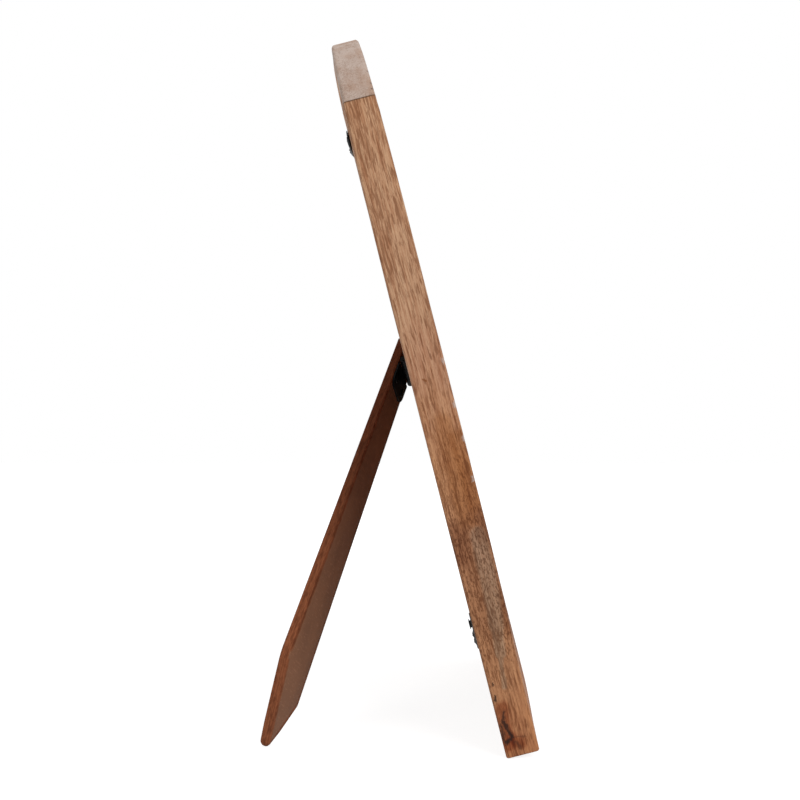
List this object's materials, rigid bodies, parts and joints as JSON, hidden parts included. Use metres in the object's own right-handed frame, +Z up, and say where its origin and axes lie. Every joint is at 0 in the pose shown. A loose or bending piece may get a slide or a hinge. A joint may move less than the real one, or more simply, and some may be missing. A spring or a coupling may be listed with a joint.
{
  "type": "easel back photo frame",
  "caption": "Arch-topped solid wood photo frame with glass, print and backing board, standing on a hinged diagonal easel leg, with turn buttons that release the back",
  "frame": {"origin": "on the table, under the middle of the object's bounding box", "axes": "+Z up, the front of the frame faces -Y, the easel leg stands behind at +Y, +X to the right as seen from the front"},
  "size_m": [0.19, 0.1146, 0.3122],
  "materials": {
    "frame_wood": "reddish brown hardwood, sanded and lightly oiled",
    "arch_wood": "the same hardwood, paler and greyer on its end grain",
    "dowel_wood": "plain birch dowel, glued",
    "clear_glass": "clear float glass, polished",
    "photo_paper": "satin photo paper",
    "grey_card": "plain grey board, matt",
    "back_fibreboard": "brown fibreboard, smooth face",
    "leg_fibreboard": "brown fibreboard, smooth faces and rough sawn reddish edges",
    "black_steel": "black painted sheet steel, satin",
    "button_steel": "black coated pressed steel, satin",
    "screw_steel": "black oxide steel, slightly worn"
  },
  "bodies": {
    "frame": {"left_stile": "frame_wood", "right_stile": "frame_wood", "bottom_rail": "frame_wood", "top_arch": "arch_wood", "left_rail_dowels": "dowel_wood", "right_rail_dowels": "dowel_wood", "left_arch_dowels": "dowel_wood", "right_arch_dowels": "dowel_wood", "glass_pane": "clear_glass", "photo_print": "photo_paper", "filler_card": "grey_card", "backing_board": "back_fibreboard", "hinge_board_leaf": "black_steel", "hinge_pin": "black_steel", "board_rivets": "black_steel", "upper_left_screw": "screw_steel", "upper_right_screw": "screw_steel", "lower_left_screw": "screw_steel", "lower_right_screw": "screw_steel"},
    "leg": {"easel_leg": "leg_fibreboard", "hinge_leg_leaf": "black_steel", "leg_rivets": "black_steel"},
    "upper_left_button": {"upper_left_button": "button_steel"},
    "upper_right_button": {"upper_right_button": "button_steel"},
    "lower_left_button": {"lower_left_button": "button_steel"},
    "lower_right_button": {"lower_right_button": "button_steel"}
  },
  "joints": [
    {"name": "leg_hinge", "type": "hinge", "parent": "frame", "child": "leg", "pos_m": [0, 0.00048, 0.15924], "axis": [0.8746, -0.1197, -0.4698], "range_deg": [-28.6, 0]},
    {"name": "upper_left_turn", "type": "hinge", "parent": "frame", "child": "upper_left_button", "pos_m": [-0.083, 0.02023, 0.24606], "axis": [0, 0.969, -0.247], "range_deg": [-90, 90]},
    {"name": "upper_right_turn", "type": "hinge", "parent": "frame", "child": "upper_right_button", "pos_m": [0.083, 0.02023, 0.24606], "axis": [0, 0.969, -0.247], "range_deg": [-90, 90]},
    {"name": "lower_left_turn", "type": "hinge", "parent": "frame", "child": "lower_left_button", "pos_m": [-0.083, -0.02941, 0.05128], "axis": [0, 0.969, -0.247], "range_deg": [-180, 0]},
    {"name": "lower_right_turn", "type": "hinge", "parent": "frame", "child": "lower_right_button", "pos_m": [0.083, -0.02941, 0.05128], "axis": [0, 0.969, -0.247], "range_deg": [-90, 90]}
  ]
}
